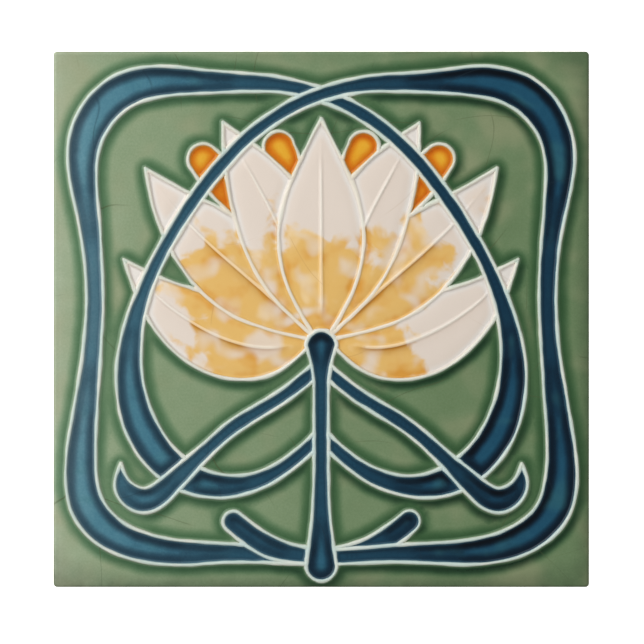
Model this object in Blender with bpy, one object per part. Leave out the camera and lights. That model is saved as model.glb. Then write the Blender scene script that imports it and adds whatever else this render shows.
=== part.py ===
"""A six-inch art nouveau wall tile: one pressed and fired clay body, with raised
lines on its face round a water lily and its whiplash stems, and a keyed back.
"""

import math

import bmesh
import bpy
import numpy as np
from mathutils import Vector
from mathutils.bvhtree import BVHTree
from mathutils.geometry import delaunay_2d_cdt

for old in list(bpy.data.objects):
    bpy.data.objects.remove(old)

# The plan is drawn in millimetres; the mesh is made in metres.
MM = 0.001

# Driving sizes, in millimetres
TILE_SIDE = 152.4
FACE_LEVEL = 9.0
LINE_TOP_LEVEL = 10.1
LINE_WIDTH_AT_FOOT = 1.7
LINE_WIDTH_AT_TOP = 0.7
CORNER_RADIUS = 1.1
CORNER_STEPS = 4
# How far each ring of the face's rounded rim lies in from the side, and below the face
FACE_RIM = ((0.0, 0.75), (0.25, 0.25), (0.8, 0.0))
FOOT_CHAMFER = 0.5

# The midrib of a petal: its rise over the petal, its width, and the share of the petal's
# length at which it starts and ends
RIB_RISE = 0.3
RIB_WIDTH = 1.8
RIB_SPAN = (0.14, 0.88)

# Keys pressed into the back: long shallow channels between level lands
KEY_COUNT = 6
KEY_DEPTH = 1.2
KEY_LENGTH = 130.0
KEY_WIDTH = 15.0
KEY_PITCH = 22.0
KEY_DRAFT = 1.0

# Height of each kind of cell above the green ground
CELL_RISE = {"ground": 0.0, "stem": 0.15, "stamen": 0.2, "petal": 0.45}

# How finely the curves are drawn, and the half width below which a ribbon's end is a point
CURVE_STEP = 1.6
CURVE_SAG = 0.07
ARC_STEP = 40.0
POINTED = 0.3
MERGE_DISTANCE = 0.02
# Spacing of the spline's knots: 1 follows their distances, and less rounds the short spans
CHORD_POWER = 0.75
# A contour keeps the stretches that lie nearly this share of its offset from every line
CONTOUR_SHARE = 0.94
LEAST_SLOPE = 1e-12
END_SHARE = 1e-6

GLAZE_COLOUR = (0.22, 0.34, 0.21, 1.0)
GLAZE_ROUGHNESS = 0.18
SHARP_ANGLE = 30.0

# Each shape of the ornament is a ribbon: knots of x, y and half width, right-hand half only.
# They are listed from the back to the front, and a later shape covers an earlier one.
PAIRED_SHAPES = (
    ("outer_stamen", "stamen", ((20, 30, 4.0), (30.5, 42, 5.0), (33.5, 45.5, 4.4))),
    ("inner_stamen", "stamen", ((7, 30, 4.0), (11.4, 46, 5.0), (12, 49, 4.4))),
    ("low_petal", "petal", ((2, -6, 0), (16, -8, 8.5), (33, -3, 10.5), (47, 7, 5.5), (56, 17, 0))),
    ("side_petal", "petal", ((2, -6, 0), (13, 5, 9), (28, 18, 11.5), (42, 32, 6), (50, 43, 0))),
    ("high_petal", "petal", ((1, -6, 0), (6, 10, 9), (13, 28, 11), (22, 45, 6), (28, 56, 0))),
)
MIDDLE_PETAL = (
    "middle_petal",
    "petal",
    ((0, -8, 0), (0, 8, 9), (0, 26, 12), (0, 44, 6.5), (0, 57, 0)),
)
LONG_WHIP = (
    "long_whip",
    "stem",
    (
        (-25, -57.5, 3.0), (-15, -64.5, 3.0), (0, -67.5, 2.2), (24, -66.5, 2.6), (50, -65, 4.0),
        (65.5, -55, 4.8), (67.5, -30, 3.6), (64.5, 0, 2.4), (66, 28, 3.0), (67, 51, 4.6),
        (56, 65, 5.0), (32, 67.5, 3.2), (8, 66, 2.1), (-16, 55.5, 1.9), (-36, 34, 1.9),
        (-49.5, 10, 2.0), (-54.5, -11, 3.4), (-51, -31, 4.6), (-38, -45, 4.2), (-22, -47, 2.8),
        (-9, -41, 2.0), (0, -33, 1.9),
    ),
)
SPUR = (
    "spur",
    "stem",
    (
        (0, -13, 1.9), (11, -22, 1.9), (24, -30, 2.0), (35, -39.5, 2.2), (43.5, -47.5, 3.0),
        (50.5, -51.5, 3.5), (56, -48, 2.6), (57, -41, 0),
    ),
)
STALK = (
    "stalk",
    "stem",
    ((0, -70, 4.4), (0, -60, 3.0), (0, -45, 2.1), (0, -28, 2.1), (0, -14, 2.6), (0, -7.5, 4.4)),
)


def mirrored(shape):
    name, kind, knots = shape
    return name + "_left", kind, tuple((-x, y, half_width) for x, y, half_width in knots)


def ornament():
    """Every shape from the back to the front, the left one of a pair first."""
    shapes = []
    for shape in PAIRED_SHAPES:
        shapes += [mirrored(shape), shape]
    shapes.append(MIDDLE_PETAL)
    for shape in (LONG_WHIP, SPUR):
        shapes += [mirrored(shape), shape]
    shapes.append(STALK)
    return shapes


def spline(knots):
    """Points of a natural cubic spline through the knots, as rows like the knots."""
    knots = np.array(knots, float)
    chords = np.hypot(*np.diff(knots[:, :2], axis=0).T)
    spans = chords**CHORD_POWER
    count = len(knots)
    system = np.eye(count)
    wanted = np.zeros_like(knots)
    for i in range(1, count - 1):
        before, after = spans[i - 1], spans[i]
        system[i, i - 1 : i + 2] = before, 2 * (before + after), after
        wanted[i] = 6 * ((knots[i + 1] - knots[i]) / after - (knots[i] - knots[i - 1]) / before)
    bends = np.linalg.solve(system, wanted)
    points = []
    for i in range(count - 1):
        steps = math.ceil(chords[i] / CURVE_STEP)
        u = np.linspace(0, 1, steps, endpoint=False)[:, None]
        v = 1 - u
        bulge = (v**3 - v) * bends[i] + (u**3 - u) * bends[i + 1]
        points.append(v * knots[i] + u * knots[i + 1] + spans[i] ** 2 / 6 * bulge)
    return np.concatenate([*points, knots[-1:]])


def round_end(centre, direction, radius):
    """The points of a half circle round the end of a ribbon, from its right side to its left."""
    if radius < POINTED:
        return centre[None]
    steps = max(4, round(math.pi * radius / CURVE_STEP))
    angles = np.linspace(-math.pi / 2, math.pi / 2, steps + 1)[1:-1, None]
    across = np.array([-direction[1], direction[0]])
    return centre + radius * (np.cos(angles) * direction + np.sin(angles) * across)


def ribbon(knots):
    """The closed outline, anticlockwise, of a ribbon along the knots."""
    middle = spline(knots)
    half_width = np.maximum(middle[:, 2:], 0)
    middle = middle[:, :2]
    along = np.gradient(middle, axis=0)
    along /= np.hypot(*along.T)[:, None]
    across = np.stack([-along[:, 1], along[:, 0]], axis=1)
    left = middle + across * half_width
    right = middle - across * half_width
    first = 1 if half_width[0] < POINTED else 0
    last = -1 if half_width[-1] < POINTED else None
    end = round_end(middle[-1], along[-1], half_width[-1, 0])
    start = round_end(middle[0], -along[0], half_width[0, 0])
    return np.concatenate([right[first:last], end, left[first:last][::-1], start])


def inside(points, outline):
    """Which points lie within a closed outline, by counting crossings to their right."""
    x, y = points.T
    found = np.zeros(len(points), bool)
    for (ax, ay), (bx, by) in zip(outline, np.roll(outline, -1, axis=0)):
        if ay == by:
            continue
        spans = (ay > y) != (by > y)
        found ^= spans & (x < ax + (bx - ax) * (y - ay) / (by - ay))
    return found


def cross(a, b):
    return a[..., 0] * b[..., 1] - a[..., 1] * b[..., 0]


def split_where_crossed(line, others):
    """The line's points with a point added wherever another line crosses it."""
    start, step = line[:-1], np.diff(line, axis=0)
    other_start = np.concatenate([other[:-1] for other in others])
    other_step = np.concatenate([np.diff(other, axis=0) for other in others])
    points = []
    for a, d in zip(start, step):
        between = other_start - a
        slope = cross(d, other_step)
        slope[slope == 0] = LEAST_SLOPE
        here = cross(between, other_step) / slope
        there = cross(between, d) / slope
        met = (here > END_SHARE) & (here < 1 - END_SHARE) & (there >= 0) & (there <= 1)
        points.append(a)
        points += [a + d * share for share in sorted(here[met])]
    return np.array([*points, line[-1]])


def kept_runs(line, keep):
    """The runs of a line's segments that keep is true for, each as its points."""
    runs, run = [], []
    for a, b, kept in zip(line[:-1], line[1:], keep):
        if kept:
            run = run or [a]
            run.append(b)
        elif run:
            runs.append(np.array(run))
            run = []
    if run:
        runs.append(np.array(run))
    return runs


def simplified(line):
    """The line with the points dropped that lie within the sag of a straight run."""
    if len(line) < 3:
        return line
    a, chord = line[0], line[-1] - line[0]
    length = math.hypot(*chord)
    if length < MERGE_DISTANCE:
        off = np.hypot(*(line - a).T)
    else:
        off = np.abs(cross(line - a, chord)) / length
    worst = int(off.argmax())
    if off[worst] < CURVE_SAG:
        return np.array([line[0], line[-1]])
    return np.concatenate([simplified(line[: worst + 1])[:-1], simplified(line[worst:])])


def closed_line(outline):
    return np.concatenate([outline, outline[:1]])


def uncovered(line, covers):
    """The runs of a line that none of the covering outlines hides."""
    if covers:
        line = split_where_crossed(line, [closed_line(cover) for cover in covers])
    middles = (line[1:] + line[:-1]) / 2
    hidden = np.zeros(len(middles), bool)
    for cover in covers:
        hidden |= inside(middles, cover)
    runs = kept_runs(line, ~hidden)
    if len(runs) > 1 and np.allclose(runs[0][0], runs[-1][-1]):
        runs[0] = np.concatenate([runs.pop()[:-1], runs[0]])
    return runs


def midrib(knots):
    """The stretch of a petal's middle line that its rib follows."""
    middle = spline(knots)[:, :2]
    first, last = (round(share * (len(middle) - 1)) for share in RIB_SPAN)
    return simplified(middle[first : last + 1])


class NearestLine:
    """Measures how far points of the plan lie from the nearest of some lines."""

    def __init__(self, lines):
        corners, walls = [], []
        for line in lines:
            for a, b in zip(line[:-1], line[1:]):
                first = len(corners)
                corners += [(*a, -1), (*b, -1), (*b, 1), (*a, 1)]
                walls.append(range(first, first + 4))
        self.tree = BVHTree.FromPolygons(corners, walls)

    def distance(self, points):
        return np.array([self.tree.find_nearest((x, y, 0))[3] for x, y in points])


def parallel(line, offset):
    """The line moved to its left by the offset, with an arc round each outer corner."""
    closed = np.allclose(line[0], line[-1])
    along = np.diff(line, axis=0)
    along /= np.hypot(*along.T)[:, None]
    turned = np.stack([-along[:, 1], along[:, 0]], axis=1) * offset
    points = [line[0] + turned[0]]
    corners = list(zip(line[1:-1], turned[:-1], turned[1:]))
    if closed:
        corners.append((line[-1], turned[-1], turned[0]))
    for corner, before, after in corners:
        turn = math.atan2(cross(before, after), before @ after)
        opens = turn * offset < 0
        steps = max(1, math.ceil(abs(turn) / math.radians(ARC_STEP))) if opens else 1
        if steps == 1:
            # The two moved segments meet in a mitre
            points.append(corner + (before + after) / (1 + before @ after / offset**2))
            continue
        sideways = np.array([-before[1], before[0]])
        for angle in np.linspace(0, turn, steps + 1):
            points.append(corner + math.cos(angle) * before + math.sin(angle) * sideways)
    if closed:
        points[0] = points[-1]
    else:
        points.append(line[-1] + turned[-1])
    return np.array(points)


def contour(lines, nearest, offset):
    """The lines that lie at this distance from the nearest of the raised lines."""
    sides = [parallel(line, side) for line in lines for side in (offset, -offset)]
    runs = []
    for i, side in enumerate(sides):
        side = split_where_crossed(side, sides[:i] + sides[i + 1 :])
        middles = (side[1:] + side[:-1]) / 2
        runs += kept_runs(side, nearest.distance(middles) > offset * CONTOUR_SHARE)
    return runs


def rounded_square(inset):
    """The tile's outline, anticlockwise, moved in from its sides."""
    half = TILE_SIDE / 2 - CORNER_RADIUS
    radius = CORNER_RADIUS - inset
    if radius < MERGE_DISTANCE:
        half, radius = half + radius, 0
    points = []
    for quarter, (sx, sy) in enumerate(((1, 1), (-1, 1), (-1, -1), (1, -1))):
        for step in range(CORNER_STEPS + 1):
            angle = math.radians(90 * (quarter + step / CORNER_STEPS))
            points.append((sx * half + radius * math.cos(angle), sy * half + radius * math.sin(angle)))
    return np.array(points)


def from_side(points):
    """How far points of the plan lie in from the tile's rounded outline."""
    past = np.abs(points) - (TILE_SIDE / 2 - CORNER_RADIUS)
    round_corner = np.hypot(*np.maximum(past, 0).T)
    return CORNER_RADIUS - round_corner - np.minimum(past.max(axis=1), 0)


def key_outline(centre_y, grow):
    """One key's outline on the back, with its sides moved out by grow."""
    half_length, half_width = KEY_LENGTH / 2 + grow, KEY_WIDTH / 2 + grow
    cut = KEY_WIDTH / 5
    corners = []
    for sx, sy in ((1, 1), (-1, 1), (-1, -1), (1, -1)):
        long_way = (sx * (half_length - cut), centre_y + sy * half_width)
        short_way = (sx * half_length, centre_y + sy * (half_width - cut))
        corners += [short_way, long_way] if sx * sy > 0 else [long_way, short_way]
    return np.array(corners)


def triangulated(lines):
    """(points, triangles) of the plan inside its lines, which all become edges."""
    points, edges = [], []
    for line in lines:
        first = len(points)
        points += [Vector(p) for p in line]
        edges += [(i, i + 1) for i in range(first, len(points) - 1)]
    made = delaunay_2d_cdt(points, edges, [], 1, MERGE_DISTANCE)
    return np.array([tuple(p) for p in made[0]]), [tuple(face) for face in made[2]]


def face_of_tile():
    """(points with heights, triangles) of the decorated face."""
    shapes = ornament()
    outlines = [simplified(closed_line(ribbon(knots)))[:-1] for _, _, knots in shapes]
    lines, ribs = [], []
    for i, (_, kind, knots) in enumerate(shapes):
        lines += uncovered(closed_line(outlines[i]), outlines[i + 1 :])
        if kind == "petal":
            ribs += uncovered(midrib(knots), outlines[i + 1 :])
    nearest_line, nearest_rib = NearestLine(lines), NearestLine(ribs)
    foot, top = LINE_WIDTH_AT_FOOT / 2, LINE_WIDTH_AT_TOP / 2
    rings = [rounded_square(inset) for inset, _ in FACE_RIM]
    plan = [closed_line(ring) for ring in rings]
    plan += contour(lines, nearest_line, foot)
    plan += contour(lines, nearest_line, top)
    plan += ribs + contour(ribs, nearest_rib, RIB_WIDTH / 2)
    points, triangles = triangulated(plan)

    cell_rise = np.full(len(points), CELL_RISE["ground"])
    for (_, kind, _), outline in zip(shapes, outlines):
        cell_rise[inside(points, outline)] = CELL_RISE[kind]
    rib_share = np.clip(1 - nearest_rib.distance(points) / (RIB_WIDTH / 2), 0, 1)
    slope = np.clip((nearest_line.distance(points) - top) / (foot - top), 0, 1)
    cell_level = FACE_LEVEL + cell_rise + RIB_RISE * rib_share
    heights = LINE_TOP_LEVEL + (cell_level - LINE_TOP_LEVEL) * slope
    insets, drops = zip(*FACE_RIM)
    heights -= np.interp(from_side(points), insets, drops)
    return np.column_stack([points, heights]), triangles


def back_of_tile():
    """(points with heights, triangles) of the keyed back."""
    keys = [(i - (KEY_COUNT - 1) / 2) * KEY_PITCH for i in range(KEY_COUNT)]
    floors = [key_outline(y, -KEY_DRAFT) for y in keys]
    mouths = [key_outline(y, 0) for y in keys]
    plan = [rounded_square(inset) for inset in (0, FOOT_CHAMFER)]
    points, triangles = triangulated([closed_line(line) for line in plan + mouths + floors])
    heights = np.zeros(len(points))
    for y in keys:
        heights[inside(points, key_outline(y, -KEY_DRAFT / 2))] = KEY_DEPTH
    heights[from_side(points) < FOOT_CHAMFER / 2] = FOOT_CHAMFER
    return np.column_stack([points, heights]), triangles


def glaze():
    """The sea-green glaze that covers most of the face."""
    material = bpy.data.materials.new("sea_green_glaze")
    material.use_nodes = True
    shader = material.node_tree.nodes["Principled BSDF"]
    shader.inputs["Base Color"].default_value = GLAZE_COLOUR
    shader.inputs["Roughness"].default_value = GLAZE_ROUGHNESS
    shader.inputs["Metallic"].default_value = 0.0
    return material


def tile():
    """The fired body, closed from its face over its sides to its back."""
    shape = bmesh.new()
    for (points, triangles), faces_down in ((face_of_tile(), False), (back_of_tile(), True)):
        corners = [shape.verts.new(Vector(point) * MM) for point in points]
        for triangle in triangles:
            turn = triangle[::-1] if faces_down else triangle
            shape.faces.new([corners[i] for i in turn])
    rims = [edge for edge in shape.edges if edge.is_boundary]
    sides = bmesh.ops.bridge_loops(shape, edges=rims)
    bmesh.ops.triangulate(shape, faces=sides["faces"])
    bmesh.ops.recalc_face_normals(shape, faces=shape.faces)
    mesh = bpy.data.meshes.new("tile")
    shape.to_mesh(mesh)
    shape.free()
    mesh.materials.append(glaze())
    mesh.shade_smooth()
    mesh.set_sharp_from_angle(angle=math.radians(SHARP_ANGLE))
    made = bpy.data.objects.new("tile", mesh)
    bpy.context.collection.objects.link(made)


tile()
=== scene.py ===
import math

import bpy
import numpy as np
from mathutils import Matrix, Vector, noise
from mathutils.bvhtree import BVHTree
from mathutils.geometry import delaunay_2d_cdt


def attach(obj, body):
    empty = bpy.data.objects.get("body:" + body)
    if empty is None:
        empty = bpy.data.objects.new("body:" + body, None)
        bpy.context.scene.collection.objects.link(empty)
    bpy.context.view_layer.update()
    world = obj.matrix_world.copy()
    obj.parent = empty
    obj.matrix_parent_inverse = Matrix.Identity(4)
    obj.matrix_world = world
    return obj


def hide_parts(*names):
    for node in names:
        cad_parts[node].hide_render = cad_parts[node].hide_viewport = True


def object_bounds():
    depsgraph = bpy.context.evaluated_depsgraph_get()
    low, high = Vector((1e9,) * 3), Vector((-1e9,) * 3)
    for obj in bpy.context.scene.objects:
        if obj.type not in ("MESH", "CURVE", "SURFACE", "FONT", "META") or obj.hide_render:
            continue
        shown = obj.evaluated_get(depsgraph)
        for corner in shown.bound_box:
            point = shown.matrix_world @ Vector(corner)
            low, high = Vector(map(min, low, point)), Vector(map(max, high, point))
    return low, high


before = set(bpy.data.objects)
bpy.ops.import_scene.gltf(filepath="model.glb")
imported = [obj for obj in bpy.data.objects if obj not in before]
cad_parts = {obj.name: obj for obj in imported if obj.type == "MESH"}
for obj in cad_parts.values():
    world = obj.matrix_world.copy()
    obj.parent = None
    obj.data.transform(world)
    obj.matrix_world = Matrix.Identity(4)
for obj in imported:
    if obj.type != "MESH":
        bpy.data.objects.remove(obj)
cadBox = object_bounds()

mm = 0.001  # the plan and all heights are in millimetres

tile = {
    "half": cadBox[1].x / mm,  # from the middle to a side
    "face": 9.0,  # level of the green ground
    "lineTop": cadBox[1].z / mm - 0.03,
    "underGlaze": 8.45,  # where the glazes lie on the clay
    "cornerRadius": 1.1,
    "rimDrop": 0.75,  # the face's rounded rim
    "rimWidth": 0.95,
}

# Every shape of the design is a ribbon: knots of x, y and half width. They are listed from the
# back to the front, and a later shape covers an earlier one. All but the upright ones in the
# middle have a left twin.
design = {
    "shapes": (
        ("stamen", ((20, 30, 4.0), (30.5, 42, 5.0), (33.5, 45.5, 4.4))),
        ("stamen", ((7, 30, 4.0), (11.4, 46, 5.0), (12, 49, 4.4))),
        ("petal", ((2, -6, 0), (16, -8, 8.5), (33, -3, 10.5), (47, 7, 5.5), (56, 17, 0))),
        ("petal", ((2, -6, 0), (13, 5, 9), (28, 18, 11.5), (42, 32, 6), (50, 43, 0))),
        ("petal", ((1, -6, 0), (6, 10, 9), (13, 28, 11), (22, 45, 6), (28, 56, 0))),
        ("petal", ((0, -8, 0), (0, 8, 9), (0, 26, 12), (0, 44, 6.5), (0, 57, 0))),
        ("stem", (  # the long whip
            (-25, -57.5, 3.0), (-15, -64.5, 3.0), (0, -67.5, 2.2), (24, -66.5, 2.6), (50, -65, 4.0),
            (65.5, -55, 4.8), (67.5, -30, 3.6), (64.5, 0, 2.4), (66, 28, 3.0), (67, 51, 4.6),
            (56, 65, 5.0), (32, 67.5, 3.2), (8, 66, 2.1), (-16, 55.5, 1.9), (-36, 34, 1.9),
            (-49.5, 10, 2.0), (-54.5, -11, 3.4), (-51, -31, 4.6), (-38, -45, 4.2), (-22, -47, 2.8),
            (-9, -41, 2.0), (0, -33, 1.9),
        )),
        ("stem", (  # the spur
            (0, -13, 1.9), (11, -22, 1.9), (24, -30, 2.0), (35, -39.5, 2.2), (43.5, -47.5, 3.0),
            (50.5, -51.5, 3.5), (56, -48, 2.6), (57, -41, 0),
        )),
        ("stem", (  # the stalk
            (0, -70, 4.4), (0, -60, 3.0), (0, -45, 2.1), (0, -28, 2.1), (0, -14, 2.6), (0, -7.5, 4.4),
        )),
    ),
    "root": (0, -8),  # where the petals grow from
    "knotPower": 0.75,  # 1 spaces the knots by their distance, and less rounds the short spans
    "step": 0.7,
    "pointed": 0.3,  # the half width below which a ribbon's end is a point
    "closest": 0.02,  # points nearer than this are one
    "slack": 0.97,  # a row beside a line keeps this share of its distance from every line
}


def allShapes():
    shapes = []
    for kind, knots in design["shapes"]:
        if any(x for x, _, _ in knots):
            shapes.append((kind, tuple((-x, y, halfWidth) for x, y, halfWidth in knots)))
        shapes.append((kind, knots))
    return shapes


def unit(steps):
    return steps / np.hypot(*steps.T)[:, None]


def leftOf(steps):
    return np.stack([-steps[..., 1], steps[..., 0]], axis=-1)


def spline(knots):  # rows like the knots, along a natural cubic spline
    knots = np.array(knots, float)
    chords = np.hypot(*np.diff(knots[:, :2], axis=0).T)
    spans = chords ** design["knotPower"]
    system = np.eye(len(knots))
    wanted = np.zeros_like(knots)
    for i in range(1, len(knots) - 1):
        before, after = spans[i - 1], spans[i]
        system[i, i - 1 : i + 2] = before, 2 * (before + after), after
        wanted[i] = 6 * ((knots[i + 1] - knots[i]) / after - (knots[i] - knots[i - 1]) / before)
    bends = np.linalg.solve(system, wanted)
    points = []
    for i in range(len(knots) - 1):
        u = np.linspace(0, 1, math.ceil(chords[i] / design["step"]), endpoint=False)[:, None]
        v = 1 - u
        bulge = (v**3 - v) * bends[i] + (u**3 - u) * bends[i + 1]
        points.append(v * knots[i] + u * knots[i + 1] + spans[i] ** 2 / 6 * bulge)
    return np.concatenate([*points, knots[-1:]])


def roundEnd(centre, direction, radius):
    if radius < design["pointed"]:
        return centre[None]
    steps = max(6, round(math.pi * radius / design["step"]))
    angles = np.linspace(-math.pi / 2, math.pi / 2, steps + 1)[1:-1, None]
    return centre + radius * (np.cos(angles) * direction + np.sin(angles) * leftOf(direction))


def ribbon(knots):  # the closed outline, anticlockwise, of a ribbon along the knots
    middle = spline(knots)
    halfWidth = np.maximum(middle[:, 2:], 0)
    middle = middle[:, :2]
    along = unit(np.gradient(middle, axis=0))
    left, right = (middle + leftOf(along) * width for width in (halfWidth, -halfWidth))
    first = 1 if halfWidth[0] < design["pointed"] else 0
    last = -1 if halfWidth[-1] < design["pointed"] else None
    end = roundEnd(middle[-1], along[-1], halfWidth[-1, 0])
    start = roundEnd(middle[0], -along[0], halfWidth[0, 0])
    return np.concatenate([right[first:last], end, left[first:last][::-1], start])


def inside(points, outline):  # which points lie in a closed outline
    found = np.zeros(len(points), bool)
    low, high = outline.min(axis=0), outline.max(axis=0)
    near = np.flatnonzero(((points >= low) & (points <= high)).all(axis=1))
    x, y = points[near].T
    crossed = np.zeros(len(near), bool)
    for (ax, ay), (bx, by) in zip(outline, np.roll(outline, -1, axis=0)):
        if ay != by:
            crossed ^= ((ay > y) != (by > y)) & (x < ax + (bx - ax) * (y - ay) / (by - ay))
    found[near] = crossed
    return found


def cross(a, b):
    return a[..., 0] * b[..., 1] - a[..., 1] * b[..., 0]


def closedLine(outline):
    return np.concatenate([outline, outline[:1]])


def splitWhereCrossed(line, others):  # adds a point wherever another line crosses
    otherStart = np.concatenate([other[:-1] for other in others])
    otherStep = np.concatenate([np.diff(other, axis=0) for other in others])
    points = []
    for a, step in zip(line[:-1], np.diff(line, axis=0)):
        between = otherStart - a
        slope = cross(step, otherStep)
        slope[slope == 0] = 1e-12
        here = cross(between, otherStep) / slope
        there = cross(between, step) / slope
        met = (here > 1e-6) & (here < 1 - 1e-6) & (there >= 0) & (there <= 1)
        points += [a] + [a + step * share for share in sorted(here[met])]
    return np.array([*points, line[-1]])


def keptRuns(line, keep):  # the runs of segments that keep is true for
    ends = np.flatnonzero(np.diff(np.concatenate([[False], keep, [False]])))
    return [line[a : b + 1] for a, b in zip(ends[::2], ends[1::2])]


def uncovered(line, covers):  # the runs of a line that no later shape hides
    if covers:
        line = splitWhereCrossed(line, [closedLine(cover) for cover in covers])
    middles = (line[1:] + line[:-1]) / 2
    hidden = np.zeros(len(middles), bool)
    for cover in covers:
        hidden |= inside(middles, cover)
    runs = keptRuns(line, ~hidden)
    if len(runs) > 1 and np.allclose(runs[0][0], runs[-1][-1]):
        runs[0] = np.concatenate([runs.pop()[:-1], runs[0]])
    return runs


class LineFinder:  # how points of the plan lie to the nearest of some lines
    def __init__(self, lines):
        self.starts = np.concatenate([line[:-1] for line in lines])
        self.ends = np.concatenate([line[1:] for line in lines])
        corners = np.stack([self.starts, self.ends, self.ends, self.starts], axis=1).reshape(-1, 2)
        levels = np.tile((-1, -1, 1, 1), len(self.starts))
        walls = np.arange(len(corners)).reshape(-1, 4).tolist()
        self.tree = BVHTree.FromPolygons(np.column_stack([corners, levels]).tolist(), walls)

    def find(self, points):  # distance, nearest point, number of its segment
        spots = [self.tree.find_nearest((x, y, 0)) for x, y in points]
        nearest = np.array([spot[0][:2] for spot in spots])
        return np.array([spot[3] for spot in spots]), nearest, np.array([spot[2] for spot in spots])

    def distance(self, points):
        return self.find(points)[0]


def parallel(line, offset, fan=math.radians(14)):  # the line moved to its left
    closed = np.allclose(line[0], line[-1])
    turned = leftOf(unit(np.diff(line, axis=0))) * offset
    points = [line[0] + turned[0]]
    corners = list(zip(line[1:-1], turned[:-1], turned[1:]))
    if closed:
        corners.append((line[-1], turned[-1], turned[0]))
    for corner, before, after in corners:
        turn = math.atan2(cross(before, after), before @ after)
        steps = max(1, math.ceil(abs(turn) / fan)) if turn * offset < 0 else 1
        if steps == 1:
            points.append(corner + (before + after) / (1 + before @ after / offset**2))
            continue
        for angle in np.linspace(0, turn, steps + 1):
            points.append(corner + math.cos(angle) * before + math.sin(angle) * leftOf(before))
    if closed:
        points[0] = points[-1]
    else:
        points.append(line[-1] + turned[-1])
    return np.array(points)


def contour(lines, finder, offset):  # the runs that lie at this distance from the nearest line
    sides = [parallel(line, side) for line in lines for side in (offset, -offset)]
    runs = []
    for i, side in enumerate(sides):
        side = splitWhereCrossed(side, sides[:i] + sides[i + 1 :])
        middles = (side[1:] + side[:-1]) / 2
        runs += keptRuns(side, finder.distance(middles) > offset * design["slack"])
    return runs


def roundedSquare(half, radius, inset=0, gap=1.0):  # anticlockwise, with a point every gap
    middle = half - radius
    radius = max(radius - inset, 0.05)
    straight = np.linspace(-middle, middle, round(2 * middle / gap) + 1)[1:-1]
    steps = max(5, round(math.pi / 2 * radius / gap))
    angles = np.linspace(0, math.pi / 2, steps + 1)
    corner = middle + radius * np.stack([np.cos(angles), np.sin(angles)], axis=1)
    side = np.stack([-straight, np.full(len(straight), middle + radius)], axis=1)
    quarter = np.concatenate([corner, side])
    turned = [quarter]
    for _ in range(3):
        quarter = leftOf(quarter)
        turned.append(quarter)
    return np.concatenate(turned)


def pastRounded(points, halfSides, radius):  # how far points lie outside a rounded rectangle
    past = np.abs(points) - halfSides + radius
    return np.hypot(*np.maximum(past, 0).T) + np.minimum(past.max(axis=1), 0) - radius


def fromSide(points):  # how far points lie in from the tile's rounded outline
    return -pastRounded(points, tile["half"], tile["cornerRadius"])


def smooth(value, low, high):
    share = np.clip((value - low) / (high - low), 0, 1)
    return share * share * (3 - 2 * share)


def waves(points, size, seed=0):  # smooth noise from -1 to 1, with waves of about this size
    return np.array([noise.noise(Vector((x / size, y / size, seed))) for x, y in points])


def lineField(finder, spread, reach=80.0, cells=640, dots=8):
    # a plan of how much raised line is near: 1 on a single straight line, more in corners
    steps = finder.ends - finder.starts
    spots = np.concatenate([finder.starts + steps * (i + 0.5) / dots for i in range(dots)])
    weights = np.tile(np.hypot(*steps.T) / dots, dots)
    area = [[-reach, reach]] * 2
    drawn = np.histogram2d(*spots.T, bins=cells, range=area, weights=weights)[0]
    cell = 2 * reach / cells
    rates = np.fft.fftfreq(cells, cell)[:, None] ** 2 + np.fft.rfftfreq(cells, cell)[None] ** 2
    blurred = np.fft.irfft2(np.fft.rfft2(drawn) * np.exp(-2 * math.pi**2 * spread**2 * rates))
    blurred *= math.sqrt(2 * math.pi) * spread / cell**2

    def sample(points):
        at = np.clip((points + reach) / cell - 0.5, 0, cells - 1.001)
        low = at.astype(int)
        x, y = low.T
        u, v = (at - low).T
        lower = blurred[x, y] * (1 - u) + blurred[x + 1, y] * u
        upper = blurred[x, y + 1] * (1 - u) + blurred[x + 1, y + 1] * u
        return lower * (1 - v) + upper * v

    return sample


def edgesOf(triangles):
    return np.concatenate([triangles[:, (0, 1)], triangles[:, (1, 2)], triangles[:, (2, 0)]])


def evened(values, triangles, rounds):  # each point's value drawn towards its neighbours'
    a, b = edgesOf(triangles).T
    count = np.bincount(np.concatenate([a, b]), minlength=len(values))
    for _ in range(rounds):
        total = np.bincount(a, values[b], len(values)) + np.bincount(b, values[a], len(values))
        values = (values + total / np.maximum(count, 1)) / 2
    return values


def cellWidth(distance, points, triangles, loss=0.35, rounds=40):
    # half the width of the cell round each point: the greatest distance near it, less a share of the way
    a, b = edgesOf(triangles).T
    lost = np.hypot(*(points[a] - points[b]).T) * loss
    width = distance.copy()
    for _ in range(rounds):
        before = width.copy()
        np.maximum.at(width, a, before[b] - lost)
        np.maximum.at(width, b, before[a] - lost)
    return width


def triangulated(lines, loosePoints):
    points, edges = [], []
    for line in lines:
        first = len(points)
        points += [Vector(point) for point in line]
        edges += [(i, i + 1) for i in range(first, len(points) - 1)]
    points += [Vector(point) for point in loosePoints]
    made = delaunay_2d_cdt(points, edges, [], 0, design["closest"])
    return np.array([tuple(point) for point in made[0]]), np.array([tuple(face) for face in made[2]])


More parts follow.
